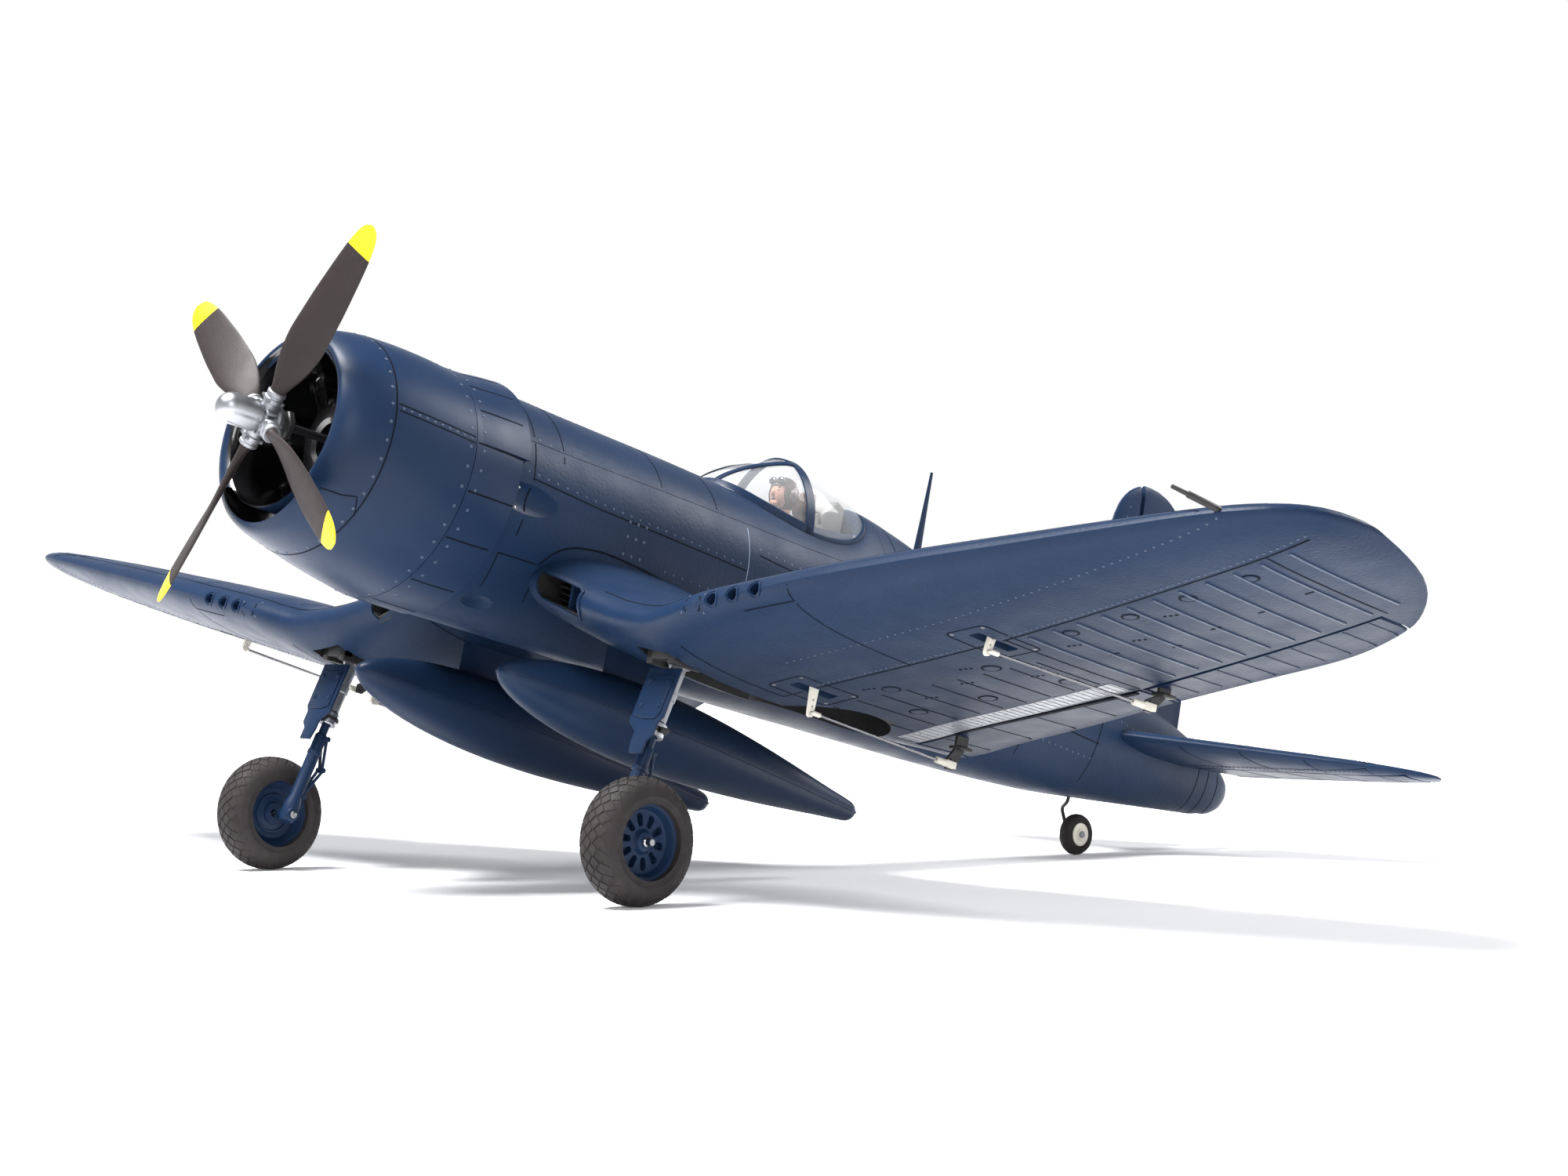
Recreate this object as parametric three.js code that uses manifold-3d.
// A radio-controlled naval warbird with inverted gull wings, standing on its three wheels.
// Ground frame: +X is the left wing, -Y is the nose, +Z is up, and z = 0 is the ground.
// Inside the airframe group, Y runs aft along the thrust line from the spinner tip.
// Everything is in millimetres.

import * as THREE from 'three';
import { mergeVertices } from 'three/addons/utils/BufferGeometryUtils.js';
import Module from 'manifold-3d';

const wasm = await Module();
wasm.setup();

// ---------- Driving dimensions ----------

const GROUND_ANGLE = 13 * Math.PI / 180;      // nose-up attitude on the ground
const GAP = 0.35;                             // clearance between touching pieces
const LEAN = 0.06;                            // frames lean aft at the top
const SKIN = 5;                               // foam wall of the fuselage
const RIGHT_THRUST = 3 * Math.PI / 180;       // thrust line turned to the right

const SEMI_SPAN = 610;
const WING_ROOT_X = 38;
const KNUCKLE_X = 180;                        // lowest point of the gull
const AILERON = { inner: 376, outer: 556, hinge: [[376, 411], [556, 375]], drop: 0 };
const FLAP = { inner: 186, outer: 372, hinge: [[186, 429], [372, 411]], drop: 5.2 };
const HINGE_GAP = 1.5;                        // half of the gap at a control surface
const RUDDER_GAP = 2.2;

const MAIN_WHEEL = { x: 186.6, radius: 37.5, width: 28, rim: 22 };
const TAIL_WHEEL = { y: 802, radius: 15.4, width: 11, rim: 8 };
const GEAR_PIVOT = [165, 243.5, -95];
const GEAR_TURN = 93.5 * Math.PI / 180;       // retraction, up and aft
const LEG = [0, -0.2343, -0.9722];            // direction of the lowered leg
const STRUT_AXLE = 114.8;                     // pivot to axle

const BLADE_RADIUS = 135;
const BLADE_COUNT = 4;
const BLADE_PHASE = 53.5 * Math.PI / 180;
const HUB_Y = 30.5;

const NAVY = 0x2b3f66;
const NAVY_LIGHT = 0x33507d;

// ---------- Solids and geometry ----------

// Turns a closed geometry into a solid.
function solid(geometry) {
  const bare = geometry.clone();
  bare.deleteAttribute('normal');
  bare.deleteAttribute('uv');
  const merged = mergeVertices(bare, 1e-4);
  return new wasm.Manifold(new wasm.Mesh({
    numProp: 3,
    vertProperties: new Float32Array(merged.attributes.position.array),
    triVerts: new Uint32Array(merged.index.array),
  }));
}

// Turns a solid back into a geometry.
function geometryOf(body) {
  const mesh = body.getMesh();
  const geometry = new THREE.BufferGeometry();
  geometry.setAttribute('position', new THREE.BufferAttribute(new Float32Array(mesh.vertProperties), 3));
  geometry.setIndex(new THREE.BufferAttribute(new Uint32Array(mesh.triVerts), 1));
  geometry.computeVertexNormals();
  return geometry;
}

// The largest connected piece of a solid, which drops slivers left by a cut.
function mainPiece(body) {
  return body.decompose().sort((a, b) => b.volume() - a.volume())[0];
}

function moved(geometry, x = 0, y = 0, z = 0, rx = 0, ry = 0, rz = 0) {
  const matrix = new THREE.Matrix4().makeRotationFromEuler(new THREE.Euler(rx, ry, rz));
  matrix.setPosition(x, y, z);
  return geometry.clone().applyMatrix4(matrix);
}

// A closed skin over rings that all have the same number of points.
function loft(rings) {
  const count = rings[0].length;
  const points = rings.flat();
  const index = [];
  for (let r = 0; r + 1 < rings.length; r++) {
    for (let i = 0; i < count; i++) {
      const a = r * count + i;
      const b = r * count + (i + 1) % count;
      index.push(a, b, a + count, b, b + count, a + count);
    }
  }
  for (const [ring, flip] of [[0, true], [rings.length - 1, false]]) {
    const middle = [0, 1, 2].map((k) => rings[ring].reduce((sum, p) => sum + p[k], 0) / count);
    const centre = points.push(middle) - 1;
    for (let i = 0; i < count; i++) {
      const a = ring * count + i;
      const b = ring * count + (i + 1) % count;
      index.push(...(flip ? [b, a, centre] : [a, b, centre]));
    }
  }
  const geometry = new THREE.BufferGeometry();
  geometry.setAttribute('position', new THREE.Float32BufferAttribute(points.flat(), 3));
  geometry.setIndex(index);
  return outward(geometry);
}

// Flips a closed geometry whose faces point in.
function outward(geometry) {
  const position = geometry.attributes.position;
  const index = geometry.index.array;
  const [a, b, c] = [new THREE.Vector3(), new THREE.Vector3(), new THREE.Vector3()];
  let volume = 0;
  for (let i = 0; i < index.length; i += 3) {
    a.fromBufferAttribute(position, index[i]);
    b.fromBufferAttribute(position, index[i + 1]);
    c.fromBufferAttribute(position, index[i + 2]);
    volume += a.dot(b.cross(c));
  }
  if (volume < 0) {
    for (let i = 0; i < index.length; i += 3) {
      [index[i], index[i + 1]] = [index[i + 1], index[i]];
    }
  }
  return geometry;
}

function mirrored(geometry) {
  const copy = (geometry.index ? geometry.clone() : mergeVertices(geometry)).applyMatrix4(
    new THREE.Matrix4().makeScale(-1, 1, 1));
  return outward(copy);
}

// A box given by its low and high corners.
function block([x0, y0, z0], [x1, y1, z1]) {
  return moved(new THREE.BoxGeometry(x1 - x0, y1 - y0, z1 - z0),
    (x0 + x1) / 2, (y0 + y1) / 2, (z0 + z1) / 2);
}

// A side-view outline of [y, z] points, extruded across the aircraft from x0 to x1.
function slab(outline, x0, x1) {
  const shape = new THREE.Shape(outline.map(([y, z]) => new THREE.Vector2(y, z)));
  const geometry = new THREE.ExtrudeGeometry(shape, { depth: x1 - x0, bevelEnabled: false });
  const axes = new THREE.Matrix4().makeBasis(
    new THREE.Vector3(0, 1, 0), new THREE.Vector3(0, 0, 1), new THREE.Vector3(1, 0, 0));
  axes.setPosition(x0, 0, 0);
  return geometry.applyMatrix4(axes);
}

// A plan-view outline of [x, y] points, extruded up from z0 to z1.
function plan(outline, z0, z1) {
  const shape = new THREE.Shape(outline.map(([x, y]) => new THREE.Vector2(x, y)));
  return moved(new THREE.ExtrudeGeometry(shape, { depth: z1 - z0, bevelEnabled: false }), 0, 0, z0);
}

// A rod between two points, with a radius at each end.
function rod(from, to, r0, r1 = r0, sides = 12) {
  const a = new THREE.Vector3(...from);
  const b = new THREE.Vector3(...to);
  const along = b.clone().sub(a);
  const geometry = new THREE.CylinderGeometry(r1, r0, along.length(), sides);
  const turn = new THREE.Quaternion().setFromUnitVectors(new THREE.Vector3(0, 1, 0), along.normalize());
  const matrix = new THREE.Matrix4().makeRotationFromQuaternion(turn);
  return geometry.applyMatrix4(matrix.setPosition(a.add(b).divideScalar(2)));
}

// A lathe of [radius, y] points about the Y axis; a profile that leaves the axis returns to it.
function turned(profile, sides) {
  return new THREE.LatheGeometry(profile.map(([r, y]) => new THREE.Vector2(r, y)), sides);
}

// A lathe about an axis from a point towards another, with the profile measured from the first.
function turnedAlong(profile, from, to, sides = 16) {
  const a = new THREE.Vector3(...from);
  const along = new THREE.Vector3(...to).sub(a).normalize();
  const turn = new THREE.Quaternion().setFromUnitVectors(new THREE.Vector3(0, 1, 0), along);
  const place = new THREE.Matrix4().makeRotationFromQuaternion(turn).setPosition(a);
  return turned(profile, sides).applyMatrix4(place);
}

function lerp(table, x, column = 1) {
  if (x <= table[0][0]) return table[0][column];
  for (let i = 0; i + 1 < table.length; i++) {
    const [low, high] = [table[i], table[i + 1]];
    if (x <= high[0]) {
      return low[column] + (high[column] - low[column]) * (x - low[0]) / (high[0] - low[0]);
    }
  }
  return table[table.length - 1][column];
}

// Centres of the wheels, and the nose height at which the main wheels touch the ground.
const MAIN_CENTRE = [
  MAIN_WHEEL.x, GEAR_PIVOT[1] + LEG[1] * STRUT_AXLE, GEAR_PIVOT[2] + LEG[2] * STRUT_AXLE];
const NOSE_HEIGHT = MAIN_WHEEL.radius + MAIN_CENTRE[1] * Math.sin(GROUND_ANGLE)
  - MAIN_CENTRE[2] * Math.cos(GROUND_ANGLE);
const TAIL_CENTRE = [0, TAIL_WHEEL.y,
  (TAIL_WHEEL.radius - NOSE_HEIGHT + TAIL_WHEEL.y * Math.sin(GROUND_ANGLE)) / Math.cos(GROUND_ANGLE)];

// ---------- Body sections ----------

// Station, top, bottom, half width, height of the widest point, roundness of the upper half.
const BODY = [
  [169, 65, -84, 74, -5, 2],
  [220, 63, -84, 72, -5, 2],
  [306, 61, -84, 70, -6, 2],
  [378, 58.5, -83, 67, -7, 2],
  [440, 57, -82, 63, -8, 2],
  [480, 61, -81.5, 60, -9, 2],
  [504, 77, -81, 57, -9.5, 1.75],
  [545, 71.5, -80.5, 54.5, -10, 1.75],
  [580, 64, -80, 51, -10.5, 1.8],
  [647, 53, -78.5, 45, -12, 1.9],
  [733, 41, -74.5, 37.5, -14, 2],
  [807, 28, -67, 30, -15, 2],
  [867, 14, -60, 24.5, -18, 2],
  [914, 2, -54.5, 19.5, -23, 2],
  [943, -8, -51, 15.5, -28, 2],
  [956, -15, -46, 12, -30, 2],
  [963, -22, -39, 7, -30.5, 2],
];
const COWL = [
  [45, 56.5, -62.5, 59, -2, 2],
  [48, 60, -65, 63, -2, 2],
  [56, 63.5, -68, 68, -3, 2],
  [72, 66.5, -72, 73, -3, 2],
  [92, 67.5, -77, 76, -4, 2],
  [112, 67, -81, 78, -5, 2],
  [131, 65.5, -84.5, 79, -5, 2],
];
const FLAP_RING = [
  [131.5, 65.5, -84.5, 79, -5, 2],
  [150, 65, -85, 78.5, -5, 2],
  [168.5, 65, -85, 77, -5, 2],
];
const CANOPY = [
  [368, 55, 30, 10, 40, 2],
  [376, 64, 30, 25, 40, 2],
  [391, 74.5, 30, 35, 40, 2],
  [409, 84, 30, 39.5, 40, 2],
  [432, 92, 30, 42, 40, 2],
  [448, 92.5, 30, 42, 40, 2],
  [463, 90, 30, 41, 40, 2],
  [480, 85, 30, 38, 40, 2],
  [496, 80.5, 30, 34, 40, 2],
  [508, 73, 30, 27, 40, 2],
];
const BODY_SIDES = 24;

function bodyRing([y, top, bottom, half, mid, power], grow = 0, sides = BODY_SIDES) {
  const ring = [];
  for (let i = 0; i < sides; i++) {
    const angle = 2 * Math.PI * i / sides;
    const [c, s] = [Math.cos(angle), Math.sin(angle)];
    const shape = 2 / (s > 0 ? power : 2);
    const height = (s > 0 ? top - mid : mid - bottom) + grow;
    const z = mid + height * Math.sign(s) * Math.abs(s) ** shape;
    ring.push([(half + grow) * Math.sign(c) * Math.abs(c) ** shape, y + LEAN * z, z]);
  }
  return ring;
}

// A solid over body stations, grown by an amount, with its ends at given stations.
function bodyOf(stations, grow = 0, from = -Infinity, to = Infinity) {
  const kept = stations.filter(([y]) => y > from && y < to);
  for (const [end, place] of [[from, 'unshift'], [to, 'push']]) {
    if (Number.isFinite(end)) {
      kept[place]([end, ...[1, 2, 3, 4, 5].map((column) => lerp(stations, end, column))]);
    }
  }
  return solid(loft(kept.map((station) => bodyRing(station, grow))));
}

const HATCH_FRONT = 178;
const HATCH_REAR = 516;
const SILL = 27;
const REAR_SILL = 29;

// The region above the hatch's parting line, moved outward by an amount.
function hatchZone(grow = 0) {
  return solid(slab([
    [HATCH_FRONT - grow, SILL - grow],
    [430, SILL - grow],
    [HATCH_REAR + grow, REAR_SILL - grow],
    [HATCH_REAR + grow, 140],
    [HATCH_FRONT - grow, 140],
  ], -90, 90));
}

// ---------- Wing sections ----------

// Semi-span station, leading edge, its height, trailing edge, thickness, incidence in degrees.
const WING = [
  [WING_ROOT_X, 206, -45, 480, 50, 1.5],
  [66, 204, -54, 480, 50, 2],
  [100, 207, -65, 480, 48, 3],
  [125, 206, -71.5, 480, 46, 3.6],
  [150, 203, -77, 479, 44, 4],
  [KNUCKLE_X, 199, -80, 477, 43, 4.2],
  [200, 195, -77.5, 475, 42, 4.2],
  [225, 191.5, -72.8, 471, 41, 4.2],
  [298, 191, -61.7, 459, 38, 4.2],
  [376, 196.5, -50, 444, 34, 4.2],
  [440, 204.5, -40.5, 434, 31, 4.2],
  [500, 212, -31.5, 425, 27, 4.2],
  [556, 221, -23.1, 401, 22, 4.2],
  [584, 231, -18.9, 374, 17, 4.2],
  [600, 245, -16.5, 345, 12, 4.2],
  [608, 266, -15.3, 313, 6, 4.2],
  [SEMI_SPAN, 280, -15, 297, 2.5, 4.2],
];
const AIRFOIL_STEPS = 8;
const EDGE = 0.7;                             // half thickness of a trailing edge

// Half thickness of a wing section at a fraction of its chord, for a unit thickness.
function thicknessAt(u) {
  const tail = 0.126 * u + 0.3516 * u ** 2 - 0.2843 * u ** 3 + 0.1036 * u ** 4;
  return 5 * (0.2969 * Math.sqrt(u) - tail);
}

// A closed section from the trailing edge over the top to the nose and back underneath.
function airfoil(chord, thickness, camber = 0.02) {
  const upper = [];
  const lower = [];
  const edge = EDGE * Math.min(1, thickness / 12);
  for (let i = 0; i <= AIRFOIL_STEPS; i++) {
    const u = (1 - Math.cos(Math.PI * i / AIRFOIL_STEPS)) / 2;
    const half = Math.max(thicknessAt(u) * thickness, i === 0 ? 0 : edge);
    const mid = camber * chord * 4 * u * (1 - u) * (1 - 0.4 * u);
    upper.push([u * chord, mid + half]);
    lower.push([u * chord, mid - half]);
  }
  return [...upper.reverse(), ...lower.slice(1)];
}

function wingRing([x, front, height, back, thickness, incidence]) {
  const angle = incidence * Math.PI / 180;
  return airfoil(back - front, thickness).map(([u, w]) => [
    x,
    front + u * Math.cos(angle) + w * Math.sin(angle),
    height - u * Math.sin(angle) + w * Math.cos(angle),
  ]);
}

// Height of the wing's chord plane above a plan position.
function chordHeight(x, y) {
  const front = lerp(WING, x, 1);
  return lerp(WING, x, 2) - (y - front) * Math.tan(lerp(WING, x, 5) * Math.PI / 180);
}

// The hinge line's ends lie on it exactly, so that it stays straight between them.
function hingePoint({ hinge: [[x0, y0], [x1, y1]], drop }, x) {
  const t = (x - x0) / (x1 - x0);
  const [z0, z1] = [chordHeight(x0, y0), chordHeight(x1, y1)];
  return [x, y0 + (y1 - y0) * t, z0 + (z1 - z0) * t - drop];
}

// The plan region of a control surface from its hinge line aft, grown all round.
function surfaceZone(surface, grow) {
  const { inner, outer } = surface;
  const [, yIn] = hingePoint(surface, inner);
  const [, yOut] = hingePoint(surface, outer);
  return solid(plan([
    [inner - grow, yIn - grow], [outer + grow, yOut - grow], [outer + grow, 520], [inner - grow, 520],
  ], -140, 20));
}

// The space that the retracting gear sweeps and lies in.
function wheelWell() {
  const axle = STRUT_AXLE;
  const low = Math.atan2(-LEG[2], LEG[1]) - GEAR_TURN;
  const [px, py, pz] = GEAR_PIVOT;
  const offset = MAIN_WHEEL.x - px;
  const centre = [
    px,
    py + axle * Math.cos(low) + offset * Math.sin(low),
    pz - axle * Math.sin(low) + offset * Math.cos(low),
  ];
  const room = 16.5;
  const depth = 80;
  const up = [0, Math.sin(low), Math.cos(low)];
  const at = (d) => centre.map((v, i) => v + up[i] * d);
  const wheel = solid(rod(at(-depth), at(room), 46, 46, 24));
  const slot = solid(block([149.5, 226, -140], [180.5, 320, -83]));
  const bay = solid(block([151, 219, -140], [179, 272, -81]));
  return wheel.add(slot).add(bay);
}

const OUTER_BODY = bodyOf(BODY);
const CLEAR_BODY = bodyOf(BODY, GAP);
const OUTER_WING = solid(loft(WING.map(wingRing)));

// Servo arm pivots, the arm's vector to its tip, and the hinge point above the surface's horn.
const LINKS = {
  aileron: { pivot: [366, 290.2, -60.4], arm: [0, -4, -17], horn: hingePoint(AILERON, 384.3) },
  flap: { pivot: [218, 303, -91.5], arm: [0, 0, -19.5], horn: hingePoint(FLAP, 218) },
};

// ---------- Fuselage, hatch and cowl ----------

function tailFin() {
  // Height, leading edge, trailing edge, thickness.
  const rows = [
    [5, 728, 899, 15], [36, 747, 898, 13.5], [70, 760, 896, 12], [105, 772, 888, 10.5],
    [140, 784, 877, 9], [158, 789, 867, 8], [171, 798, 857, 7], [178, 808, 845, 5],
    [181, 816, 833, 2.5],
  ];
  return solid(loft(rows.map(([z, front, back, thickness]) =>
    airfoil(back - front, thickness, 0).map(([u, w]) => [w, front + u, z]))));
}

const RUDDER_HINGE_Y = 813;
const ELEVATOR_HINGE_Y = 893;
const ELEVATOR_HINGE_Z = -18;
const SPAR = { y: 300, z: -62, radius: 4.5, reach: 112 };

function fuselage() {
  const fin = tailFin().intersect(solid(block([-20, 700, 0], [20, RUDDER_HINGE_Y - RUDDER_GAP, 190])));
  const inner = bodyOf(BODY, -SKIN, 178, 600);
  const spar = solid(rod([-90, SPAR.y, SPAR.z], [90, SPAR.y, SPAR.z], SPAR.radius + GAP));
  const hinge = [ELEVATOR_HINGE_Y, ELEVATOR_HINGE_Z];
  const joiner = solid(rod([-40, ...hinge], [40, ...hinge], 4.5));
  const steering = solid(rod([0, 787, -60], [0, 787, -90], 2.2));
  let shell = OUTER_BODY.add(fin).subtract(inner).subtract(hatchZone(GAP)).subtract(spar);
  shell = shell.subtract(joiner).subtract(steering);
  for (const [x, z] of [[-45, 0], [45, 0], [0, 42], [0, -50]]) {
    shell = shell.subtract(solid(rod([x, 160, z], [x, 190, z], 9)));
  }
  return geometryOf(mainPiece(shell));
}

function hatch() {
  const inner = bodyOf(BODY, -SKIN, 150, 600);
  const cockpit = solid(block([-30, 392, 20], [30, 497, 120]));
  const shell = OUTER_BODY.intersect(hatchZone()).subtract(inner).subtract(cockpit);
  return geometryOf(mainPiece(shell));
}

function cowl() {
  const wall = 3;
  const inner = bodyOf(COWL, -wall, 52, 145);
  const opening = solid(rod([0, 30, 2], [0, 90, 2], 50, 50, 28));
  const below = solid(block([-80, 30, -90], [80, 60, -36]));
  const chin = solid(rod([0, 30, -8.5], [0, 70, -8.5], 51.5, 51.5, 28)).intersect(below)
    .subtract(solid(rod([0, 20, 2], [0, 80, 2], 53, 53, 28)));
  return geometryOf(mainPiece(bodyOf(COWL).subtract(inner).subtract(opening).subtract(chin)));
}

function cowlFlaps() {
  return geometryOf(bodyOf(FLAP_RING).subtract(bodyOf(FLAP_RING, -3, 120, 180)));
}

// Nine cylinders round a crankcase, with a hole for the propeller shaft.
function dummyEngine() {
  const sides = 18;
  let engine = solid(turned([
    [12, 96], [12, 80], [20, 78], [30, 86], [36, 92], [36, 102], [12, 102], [12, 96],
  ], sides));
  for (let i = 0; i < 9; i++) {
    const angle = 2 * Math.PI * i / 9 + Math.PI / 2;
    const cylinder = solid(rod([30 * Math.cos(angle), 96, 30 * Math.sin(angle)],
      [60 * Math.cos(angle), 96, 60 * Math.sin(angle)], 9, 8, 8));
    engine = engine.add(cylinder);
  }
  return geometryOf(engine);
}

// ---------- Cockpit ----------

const BELOW_GLASS = 32;

function canopyGlass() {
  const shell = bodyOf(CANOPY).subtract(bodyOf(CANOPY, -1.2));
  const above = solid(block([-60, 350, BELOW_GLASS], [60, 530, 120]));
  return geometryOf(mainPiece(shell.intersect(above).subtract(bodyOf(BODY, GAP))));
}

function canopyFrame() {
  const shell = bodyOf(CANOPY, 1.5).subtract(bodyOf(CANOPY, GAP));
  const hoops = solid(block([-60, 436, 30], [60, 442, 120])).add(bodyOf(BODY, 4));
  const front = solid(block([-60, 340, 30], [60, 500, 120]));
  return geometryOf(mainPiece(shell.intersect(hoops).intersect(front).subtract(CLEAR_BODY)));
}

function cockpitTub() {
  const outer = solid(block([-29.6, 392.4, 4], [29.6, 496.6, 50]));
  const inner = solid(block([-27.6, 394.4, 6], [27.6, 494.6, 60]));
  const seat = solid(block([-14, 470, 6], [14, 478, 62]));
  return geometryOf(outer.subtract(inner).add(seat));
}

// A seated figure cut at the waist: trunk, shoulders, head and helmet.
function pilot() {
  const trunk = solid(moved(new THREE.SphereGeometry(1, 12, 8).scale(17, 10, 24), 0, 452, 28));
  const waist = solid(block([-40, 430, 6.4], [40, 468, 80]));
  const head = solid(moved(new THREE.SphereGeometry(11.5, 12, 8), 0, 450, 71));
  return geometryOf(trunk.intersect(waist).add(head).add(solid(rod([0, 452, 44], [0, 451, 64], 5))));
}

// ---------- Wings and tail ----------

function gunPorts() {
  let ports = solid(rod([240, 180, -70.5], [240, 224, -70.5], 3.5, 3.5, 10));
  for (const [x, z] of [[256.8, -67.9], [274.5, -65.2]]) {
    ports = ports.add(solid(rod([x, 180, z], [x, 224, z], 3.5, 3.5, 10)));
  }
  return ports;
}

// The oil-cooler inlet in the root's leading edge.
function coolerInlet() {
  return solid(loft([190, 232].map((y) => [
    [66, y, -48], [104, y, -59.5], [104, y, -74], [66, y, -62.5],
  ])));
}

// Slots in the lower skin for the aileron and flap servo arms.
function servoSlots() {
  const slots = Object.values(LINKS).map(({ pivot: [x, y, z] }) =>
    solid(block([x - 4, y - 17, z - 60], [x + 4, y + 17, z + 5])));
  return slots.reduce((all, slot) => all.add(slot));
}

function wing() {
  const spar = solid(rod([20, SPAR.y, SPAR.z], [SPAR.reach + 1, SPAR.y, SPAR.z], SPAR.radius + GAP));
  let body = OUTER_WING.subtract(CLEAR_BODY).subtract(wheelWell()).subtract(gunPorts());
  body = body.subtract(coolerInlet()).subtract(spar).subtract(servoSlots());
  body = body.subtract(surfaceZone(AILERON, HINGE_GAP)).subtract(surfaceZone(FLAP, HINGE_GAP));
  return geometryOf(mainPiece(body));
}

function controlSurface(surface, link) {
  return geometryOf(mainPiece(OUTER_WING.intersect(surfaceZone(surface, -HINGE_GAP)).add(horn(link))));
}

// Station, leading edge, height, trailing edge, thickness.
const TAILPLANE = [
  [14, 792, -17, 950, 16],
  [60, 812, -17.4, 948, 14],
  [120, 839, -18, 943, 11.5],
  [180, 866, -18.8, 936, 9],
  [212, 883, -19.3, 930, 6.5],
  [228, 894, -19.6, 923, 4.5],
  [237, 903, -19.8, 913, 2],
];
const ELEVATOR_ROOT = 27;
const ELEVATOR_TIP = 219;

function tailplane() {
  return solid(loft(TAILPLANE.map(([x, front, height, back, thickness]) =>
    airfoil(back - front, thickness, 0).map(([u, w]) => [x, front + u, height + w]))));
}

function elevatorZone(grow) {
  return solid(block([ELEVATOR_ROOT - grow, ELEVATOR_HINGE_Y - grow, -60], [ELEVATOR_TIP + grow, 990, 40]));
}

function stabilizer() {
  const rootCut = solid(block([0, ELEVATOR_HINGE_Y - HINGE_GAP, -60], [ELEVATOR_ROOT + 1, 990, 40]));
  const axis = [ELEVATOR_HINGE_Y, ELEVATOR_HINGE_Z];
  const scoop = solid(rod([0, ...axis], [ELEVATOR_ROOT + 9, ...axis], 3.2));
  const body = tailplane().subtract(elevatorZone(HINGE_GAP)).subtract(rootCut).subtract(scoop);
  return geometryOf(mainPiece(body.subtract(CLEAR_BODY)));
}

function elevator() {
  const half = tailplane().intersect(elevatorZone(-HINGE_GAP));
  const other = solid(mirrored(geometryOf(half)));
  const reach = ELEVATOR_ROOT + 4;
  const hinge = [ELEVATOR_HINGE_Y, ELEVATOR_HINGE_Z];
  const joiner = solid(rod([-reach, ...hinge], [reach, ...hinge], 2.2));
  const web = solid(block(
    [ELEVATOR_ROOT + 1.6, ELEVATOR_HINGE_Y - 1, ELEVATOR_HINGE_Z - 1.5],
    [ELEVATOR_ROOT + 5, ELEVATOR_HINGE_Y + 6, ELEVATOR_HINGE_Z + 1.5]));
  const otherWeb = solid(mirrored(geometryOf(web)));
  return geometryOf(half.add(other).add(joiner).add(web).add(otherWeb));
}

function rudder() {
  const zone = solid(block([-20, RUDDER_HINGE_Y + RUDDER_GAP, 0], [20, 920, 190]));
  return geometryOf(mainPiece(tailFin().intersect(zone).subtract(bodyOf(BODY, 2))));
}

// ---------- Propeller and motor ----------

function bladeGeometry() {
  // Radius, chord, thickness, pitch angle in degrees.
  const rows = [
    [18.4, 10, 6, 48], [24, 13, 5.5, 44], [34, 20, 4.6, 38], [52, 26, 3.8, 31], [74, 28, 3, 25],
    [96, 26.5, 2.4, 21], [114, 22, 1.9, 18.5], [126, 16, 1.5, 17], [132, 10, 1.2, 16.5],
    [BLADE_RADIUS, 4, 0.9, 16],
  ];
  const sides = 10;
  return loft(rows.map(([r, chord, thickness, pitch]) => {
    const angle = pitch * Math.PI / 180;
    const ring = [];
    for (let i = 0; i < sides; i++) {
      const turn = 2 * Math.PI * i / sides;
      const along = -chord / 2 * Math.cos(turn);
      const off = thickness / 2 * Math.sin(turn);
      ring.push([
        along * Math.cos(angle) + off * Math.sin(angle),
        HUB_Y + along * Math.sin(angle) - off * Math.cos(angle),
        r,
      ]);
    }
    return ring;
  }));
}

function bladeAt(index) {
  const turn = index * 2 * Math.PI / BLADE_COUNT + BLADE_PHASE - Math.PI / 2;
  return bladeGeometry().applyMatrix4(new THREE.Matrix4().makeRotationY(-turn));
}

function propHub() {
  let hub = solid(turned([[0, 24.5], [9.5, 24.5], [10.5, 38], [0, 38]], 16));
  for (let i = 0; i < BLADE_COUNT; i++) {
    const angle = BLADE_PHASE + i * Math.PI / 2;
    const [c, s] = [Math.cos(angle), Math.sin(angle)];
    hub = hub.add(solid(rod([5 * c, HUB_Y, 5 * s], [18 * c, HUB_Y, 18 * s], 6.5, 6.2, 8)));
  }
  return geometryOf(mainPiece(hub.add(solid(rod([0, 37, 0], [0, 49, 0], 8.5, 9.5, 16)))));
}

function spinnerDome() {
  const profile = [[0, 0]];
  for (let i = 1; i <= 4; i++) {
    const angle = Math.PI / 2 * i / 4;
    profile.push([9 * Math.sin(angle), 9 * (1 - Math.cos(angle))]);
  }
  return turned([...profile, [9.3, 24.1], [0, 24.1]], 16);
}

// Outrunner can behind the dummy engine, with its shaft running forward to the hub.
function motorCan() {
  return turned([[0, 49.4], [2.5, 49.4], [2.5, 104], [8, 106], [17, 110], [17, 136], [0, 136]], 20);
}

// Fixed base between the can and the front bulkhead, centred on the turned thrust line.
function motorMount() {
  const x = 150 * Math.sin(RIGHT_THRUST);
  const base = solid(rod([x, 138.5, 0], [x, 160, 0], 13, 13, 20));
  return geometryOf(base.add(solid(block([x - 22, 158, -22], [x + 22, 164, 22]))));
}

// ---------- Landing gear ----------

function alongLeg(distance, x = GEAR_PIVOT[0], forward = 0) {
  return [
    x,
    GEAR_PIVOT[1] + LEG[1] * distance + LEG[2] * forward,
    GEAR_PIVOT[2] + LEG[2] * distance - LEG[1] * forward,
  ];
}

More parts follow.
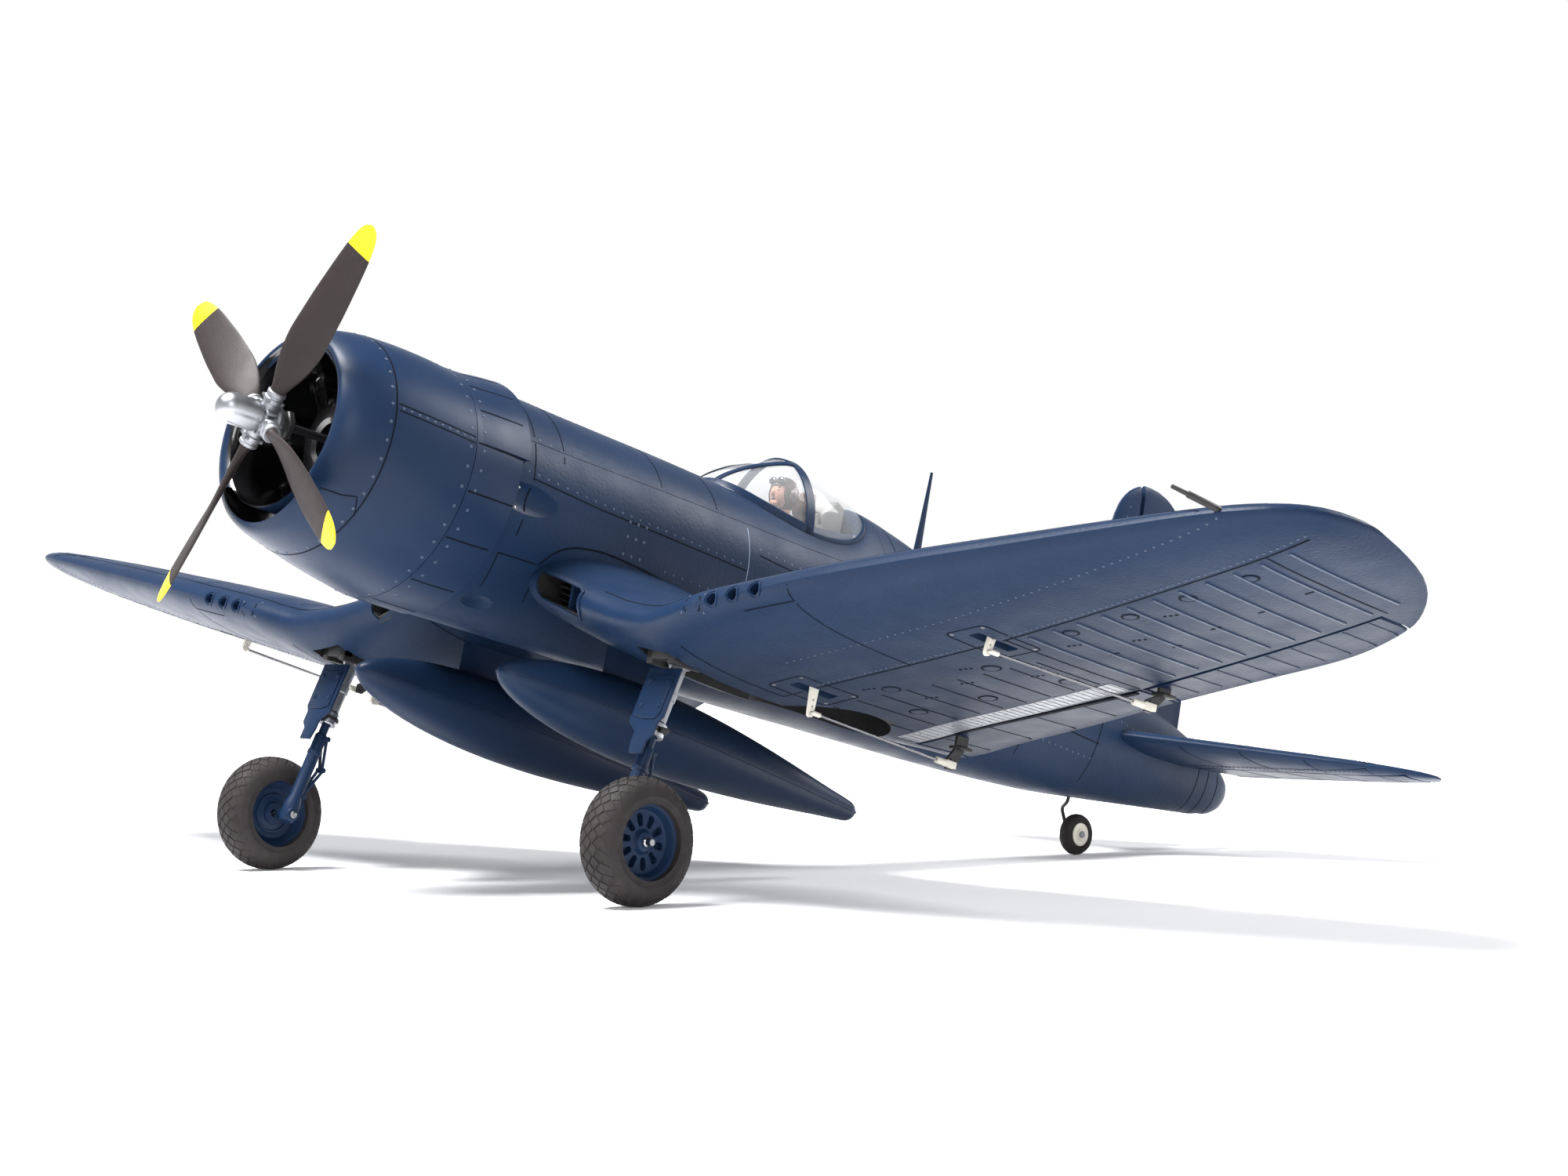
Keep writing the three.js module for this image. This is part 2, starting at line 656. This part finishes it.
// Upper leg: a tube with a blind bore at its foot, and the trunnion on the retract axis.
function strut() {
  const tube = solid(turnedAlong([
    [0, -3], [4.6, -3], [4.6, 39.6], [3.4, 39.6], [3.4, 31], [0, 31],
  ], alongLeg(0), alongLeg(10), 16));
  const [x, ...axis] = GEAR_PIVOT;
  const trunnion = solid(rod([x - 6.1, ...axis], [x + 6.1, ...axis], 5.5));
  return geometryOf(tube.add(trunnion));
}

function collar() {
  return turnedAlong([[3.4, 40], [6, 40], [6, 49], [3.4, 49], [3.4, 40]], alongLeg(0), alongLeg(10), 16);
}

// Sliding lower leg with the stub axle and the rear scissor link.
function piston() {
  const tube = solid(turnedAlong([
    [0, 41.5], [2.9, 41.5], [2.9, 56], [4.2, 57], [4.2, 104], [5.5, 108], [5.5, 118], [0, 120],
  ], alongLeg(0), alongLeg(10), 10));
  const foot = alongLeg(STRUT_AXLE);
  const axle = solid(rod([foot[0] - 6, foot[1], foot[2]], [foot[0] + 8.5, foot[1], foot[2]], 4.2));
  const stub = solid(rod([foot[0], foot[1], foot[2]], [198, foot[1], foot[2]], 2));
  const link = solid(rod(alongLeg(58, 165, -3), alongLeg(78, 165, -13), 1.8, 1.8, 8))
    .add(solid(rod(alongLeg(78, 165, -13), alongLeg(100, 165, -3), 1.8, 1.8, 8)));
  return geometryOf(tube.add(axle).add(stub).add(link));
}

// A stepped cover plate ahead of the leg, with two brackets reaching back to it.
function gearDoor() {
  const outline = [
    [-13, 9], [15, 9], [15, 40], [12, 44], [12, 52], [8, 56], [8, 64], [-3, 64], [-5, 56], [-5, 50],
    [-13, 44],
  ];
  const shape = new THREE.Shape(outline.map(([x, d]) => new THREE.Vector2(x, -d)));
  const plate = new THREE.ExtrudeGeometry(shape, { depth: 1.6, bevelEnabled: false });
  const brackets = [14, 30].map((d) => block([-3, -d - 4, -3.6], [3, -d, 0.2]));
  const base = brackets.reduce((all, bracket) => all.add(solid(bracket)), solid(plate));
  const axes = new THREE.Matrix4().makeBasis(
    new THREE.Vector3(1, 0, 0),
    new THREE.Vector3(0, -LEG[1], -LEG[2]),
    new THREE.Vector3(0, LEG[2], -LEG[1]));
  const start = alongLeg(0, GEAR_PIVOT[0], 8.6);
  return geometryOf(base).applyMatrix4(axes.setPosition(...start));
}

function retractUnit() {
  const [x, y, z] = GEAR_PIVOT;
  const cheeks = [[x - 12, x - 6.5], [x + 6.5, x + 12]].map(([x0, x1]) =>
    solid(block([x0, y - 17, z - 4.5], [x1, y + 8, z + 12])));
  const bridge = solid(block([x - 12, y - 17, z - 2], [x + 12, y - 9.5, z + 12]));
  return geometryOf(cheeks[0].add(cheeks[1]).add(bridge));
}

const TYRE_SIDES = 24;

// A tyre about the X axis with one vertex straight down, so that it touches the ground at its radius.
function tyre({ radius, width, rim }, sides = TYRE_SIDES) {
  const w = width / 2;
  const bulge = (rim + radius) / 2 + 1;
  const inner = [
    [rim, -w * 0.62], [rim + 5, -w * 0.95], [bulge, -w], [radius - 3.2, -w * 0.72], [radius, -w * 0.3],
  ];
  const outer = inner.map(([r, along]) => [r, -along]).reverse();
  const outline = [...inner, ...outer, inner[0]];
  return moved(turned(outline, sides), 0, 0, 0, 0, 0, -Math.PI / 2);
}

function wheelHub({ rim, width }, bore, holes) {
  const w = width / 2;
  const r = rim - GAP;
  let body = solid(moved(turned([
    [bore, -w * 0.5], [7, -w * 0.35], [r - 3, -w * 0.35], [r - 3, -w * 0.6], [r, -w * 0.6],
    [r, w * 0.6], [r - 3, w * 0.6], [r - 3, w * 0.25], [8, w * 0.25], [6, w * 0.5], [bore, w * 0.5],
    [bore, -w * 0.5],
  ], 24), 0, 0, 0, 0, 0, -Math.PI / 2));
  for (let i = 0; i < holes; i++) {
    const angle = 2 * Math.PI * i / holes;
    const at = [Math.cos(angle) * 12.6, Math.sin(angle) * 12.6];
    body = body.subtract(solid(rod([-1, ...at], [20, ...at], 2.7, 2.7, 6)));
  }
  return geometryOf(body);
}

// Tail wheel and hub in one, about the X axis.
function tailWheel() {
  const outline = [
    [1.8, -5.2], [4, -5.2], [5, -4], [8, -4], [10, -5.5], [13.2, -4.6], [TAIL_WHEEL.radius, -1.8],
    [TAIL_WHEEL.radius, 1.8], [13.2, 4.6], [10, 5.5], [8, 4], [5, 4], [4, 5.2], [1.8, 5.2], [1.8, -5.2],
  ];
  return moved(turned(outline, 20), 0, 0, 0, 0, 0, -Math.PI / 2);
}

function tailStrut() {
  const [, y, z] = TAIL_CENTRE;
  const side = -8.5;
  const bends = [[0, 787, -63], [0, 787, -71], [side, 791, -76], [side, y, z]];
  let wire = solid(rod(bends[0], bends[1], 1.5, 1.5, 8));
  for (let i = 0; i + 1 < bends.length; i++) {
    wire = wire.add(solid(rod(bends[i], bends[i + 1], 1.4, 1.4, 8)));
    wire = wire.add(solid(moved(new THREE.IcosahedronGeometry(1.6, 0), ...bends[i + 1])));
  }
  const axle = solid(rod([side, y, z], [6.5, y, z], 1.4, 1.4, 8));
  return geometryOf(wire.add(axle));
}

// ---------- Linkages ----------

function servoArm({ pivot: [x, y, z], arm: [, dy, dz] }) {
  const long = Math.hypot(dy, dz) + 2.5;
  const outline = [[-3.2, 3], [3.2, 3], [2, -long], [-2, -long]];
  const shape = new THREE.Shape(outline.map(([a, b]) => new THREE.Vector2(a, b)));
  const plate = moved(new THREE.ExtrudeGeometry(shape, { depth: 2, bevelEnabled: false }), 0, 0, -1);
  const lean = Math.atan2(-dy, -dz);
  const axes = new THREE.Matrix4().makeBasis(
    new THREE.Vector3(0, 1, 0), new THREE.Vector3(0, 0, 1), new THREE.Vector3(1, 0, 0));
  const tilt = new THREE.Matrix4().makeRotationX(-lean).multiply(axes);
  return plate.applyMatrix4(new THREE.Matrix4().makeTranslation(x, y, z).multiply(tilt));
}

function hornEnd({ arm, horn }) {
  return horn.map((value, i) => value + arm[i]);
}

function pushrod(link) {
  const from = link.pivot.map((value, i) => value + link.arm[i]);
  const to = hornEnd(link);
  const start = [from[0] + 2.4, from[1], from[2]];
  return rod(start, [to[0] + 3.5, to[1], to[2]], 1, 1, 10);
}

function horn(link) {
  const [x, y, z] = link.horn;
  const [, ey, ez] = hornEnd(link);
  return solid(slab([
    [y + 3, z + 3], [y + 13, z + 3], [y + 13, z - 5],
    [ey + 2.5, ez - 2.5], [ey - 2.5, ez - 2.5], [ey - 2.5, ez + 4], [y + 3, z - 8],
  ], x - 1, x + 1));
}

// ---------- Stores and fittings ----------

function dropTank() {
  const length = 313;
  const radius = 25;
  const steps = 12;
  const profile = [[0, 0]];
  for (let i = 1; i < steps; i++) {
    const u = i / steps;
    profile.push([radius * Math.sin(Math.PI * u ** 0.72) ** 0.72, length * u]);
  }
  profile.push([0, length]);
  const nose = [72.3, 183, -115];
  const tail = [72.5, 495, -138];
  const body = solid(turnedAlong(profile, nose, tail, 16));
  const pylon = solid(block([68, 245, -115], [77, 335, -60]));
  const clear = OUTER_WING.translate(0, 0, -GAP).add(OUTER_WING).add(CLEAR_BODY);
  return geometryOf(mainPiece(body.add(pylon.subtract(clear))));
}

function antennaMast() {
  const mast = solid(loft([[60, 8, 3], [66, 7, 2.6], [126, 2.4, 1.2]].map(([z, long, wide]) => {
    const ring = [];
    for (let i = 0; i < 10; i++) {
      const angle = 2 * Math.PI * i / 10;
      ring.push([wide / 2 * Math.cos(angle), 585 + long / 2 * Math.sin(angle), z]);
    }
    return ring;
  })));
  return geometryOf(mainPiece(mast.subtract(CLEAR_BODY)));
}

function pitotTube() {
  const boom = solid(rod([562, 187, -19], [562, 232, -20.6], 1.7, 1.7, 10));
  const fin = solid(slab([[203, -19], [214, -19], [212, -12], [208, -12]], 561.4, 562.6));
  const clear = OUTER_WING.add(OUTER_WING.translate(0, -GAP, 0));
  return geometryOf(mainPiece(boom.add(fin).subtract(clear)));
}

// ---------- Assembly ----------

function look(color, roughness = 0.55, metalness = 0) {
  return () => new THREE.MeshStandardMaterial({ color, roughness, metalness });
}

const paint = look(NAVY, 0.5);
const lightPaint = look(NAVY_LIGHT, 0.5);
const black = look(0x1a1a1c, 0.5);
const rubber = look(0x3b3733, 0.85);
const steel = look(0xb8bbc0, 0.3, 0.9);
const white = look(0xe6e4de, 0.5);
const plastic = look(0x2a2c30, 0.6);

function named(name, geometry, material) {
  const mesh = new THREE.Mesh(geometry, material());
  mesh.name = name;
  return mesh;
}

// The left piece as drawn, and the right piece mirrored.
function pair(name, geometry, material) {
  return [named(`left_${name}`, geometry, material), named(`right_${name}`, mirrored(geometry), material)];
}

const airframe = new THREE.Group();
airframe.rotation.x = -GROUND_ANGLE;
airframe.position.z = NOSE_HEIGHT;

const sparAxis = [SPAR.y, SPAR.z];
const spar = rod([-SPAR.reach, ...sparAxis], [SPAR.reach, ...sparAxis], SPAR.radius, SPAR.radius, 16);
airframe.add(
  named('fuselage', fuselage(), paint),
  named('hatch', hatch(), paint),
  named('cowl', cowl(), paint),
  named('cowl_flaps', cowlFlaps(), lightPaint),
  named('dummy_engine', dummyEngine(), black),
  named('motor_mount', motorMount(), plastic),
  named('battery', block([-22, 215, -55.5], [22, 352, -26]), look(0x3d6b4a, 0.5)),
  named('speed_controller', block([-14, 200, -18], [14, 255, -8]), plastic),
  named('receiver', block([-12, 385, -50], [12, 425, -38]), look(0x6a6f78, 0.5)),
  named('tail_servos', block([-26, 500, -45], [26, 524, -18]), plastic),
  named('wing_spar', spar, black),
  named('canopy_glass', canopyGlass(), look(0xdfe8ee, 0.1)),
  named('canopy_frame', canopyFrame(), paint),
  named('cockpit_tub', cockpitTub(), look(0x4a4d52, 0.7)),
  named('pilot', pilot(), look(0x7a4a34, 0.7)),
  named('antenna_mast', antennaMast(), lightPaint),
  named('pitot_tube', pitotTube(), plastic),
  named('elevator', elevator(), paint),
  named('rudder', rudder(), paint),
  named('tail_strut', tailStrut(), plastic),
  ...pair('wing', wing(), paint),
  ...pair('stabilizer', stabilizer(), paint),
  ...pair('aileron', controlSurface(AILERON, LINKS.aileron), paint),
  ...pair('flap', controlSurface(FLAP, LINKS.flap), paint),
  ...pair('aileron_arm', servoArm(LINKS.aileron), white),
  ...pair('flap_arm', servoArm(LINKS.flap), white),
  ...pair('aileron_pushrod', pushrod(LINKS.aileron), steel),
  ...pair('flap_pushrod', pushrod(LINKS.flap), steel),
  ...pair('drop_tank', dropTank(), paint),
  ...pair('retract_unit', retractUnit(), plastic),
  ...pair('gear_strut', strut(), steel),
  ...pair('gear_door', gearDoor(), paint),
  ...pair('gear_collar', collar(), steel),
  ...pair('gear_piston', piston(), paint),
);

const mainTyre = tyre(MAIN_WHEEL);
const mainHub = wheelHub(MAIN_WHEEL, 2.35, 10);
for (const [name, geometry, material] of [['tyre', mainTyre, rubber], ['wheel_hub', mainHub, paint]]) {
  airframe.add(...pair(name, moved(geometry, ...MAIN_CENTRE, GROUND_ANGLE), material));
}
airframe.add(named('tail_wheel', moved(tailWheel(), ...TAIL_CENTRE, GROUND_ANGLE), rubber));

const propeller = new THREE.Group();
propeller.rotation.z = -RIGHT_THRUST;
propeller.add(
  named('spinner_dome', spinnerDome(), steel),
  named('prop_hub', propHub(), steel),
  named('motor_can', motorCan(), plastic),
);
for (let i = 0; i < BLADE_COUNT; i++) {
  propeller.add(named(`propeller_blade_${i + 1}`, bladeAt(i), look(0x3a3433, 0.5)));
}
airframe.add(propeller);

// The origin is on the ground at the middle of the whole aircraft's box.
const aircraft = new THREE.Group();
aircraft.add(airframe);
aircraft.updateMatrixWorld(true);
const middle = new THREE.Box3().setFromObject(aircraft, true).getCenter(new THREE.Vector3());
airframe.position.y -= middle.y;

export default aircraft;
